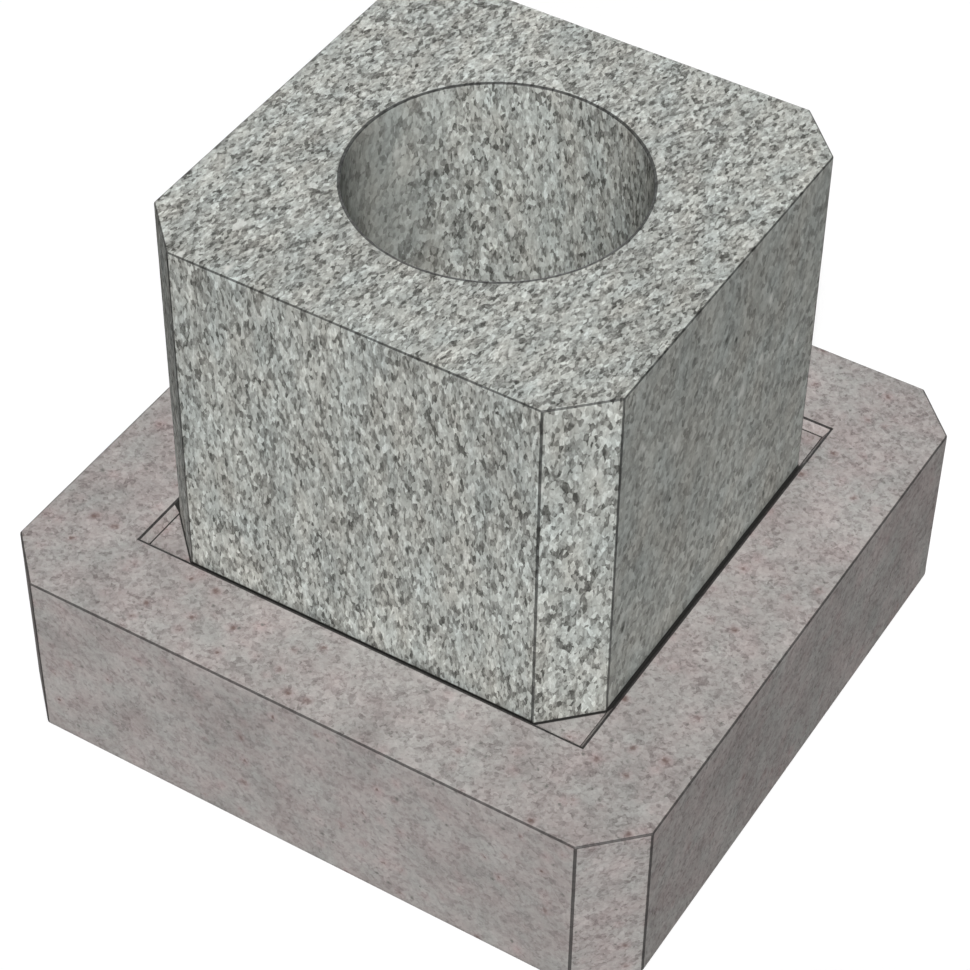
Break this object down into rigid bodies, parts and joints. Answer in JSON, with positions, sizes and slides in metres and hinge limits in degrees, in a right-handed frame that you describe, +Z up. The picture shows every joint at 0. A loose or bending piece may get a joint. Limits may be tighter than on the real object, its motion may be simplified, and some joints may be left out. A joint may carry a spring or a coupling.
{
  "type": "footing slab",
  "caption": "Square granite footing slab with cut-off corners, and a tall bored granite block standing in its shallow seat, to take the foot of a round column.",
  "frame": {"origin": "centre of the slab's underside", "axes": "+Z up along the bore's axis, -Y towards the front"},
  "size_m": [0.7, 0.7, 0.5803],
  "materials": {
    "taupe_granite": "fine sawn, matt",
    "grey_granite": "fine sawn, matt, coarse speckle"
  },
  "bodies": {
    "root": {"footing_slab": "taupe_granite", "socket_block": "grey_granite"}
  },
  "joints": []
}
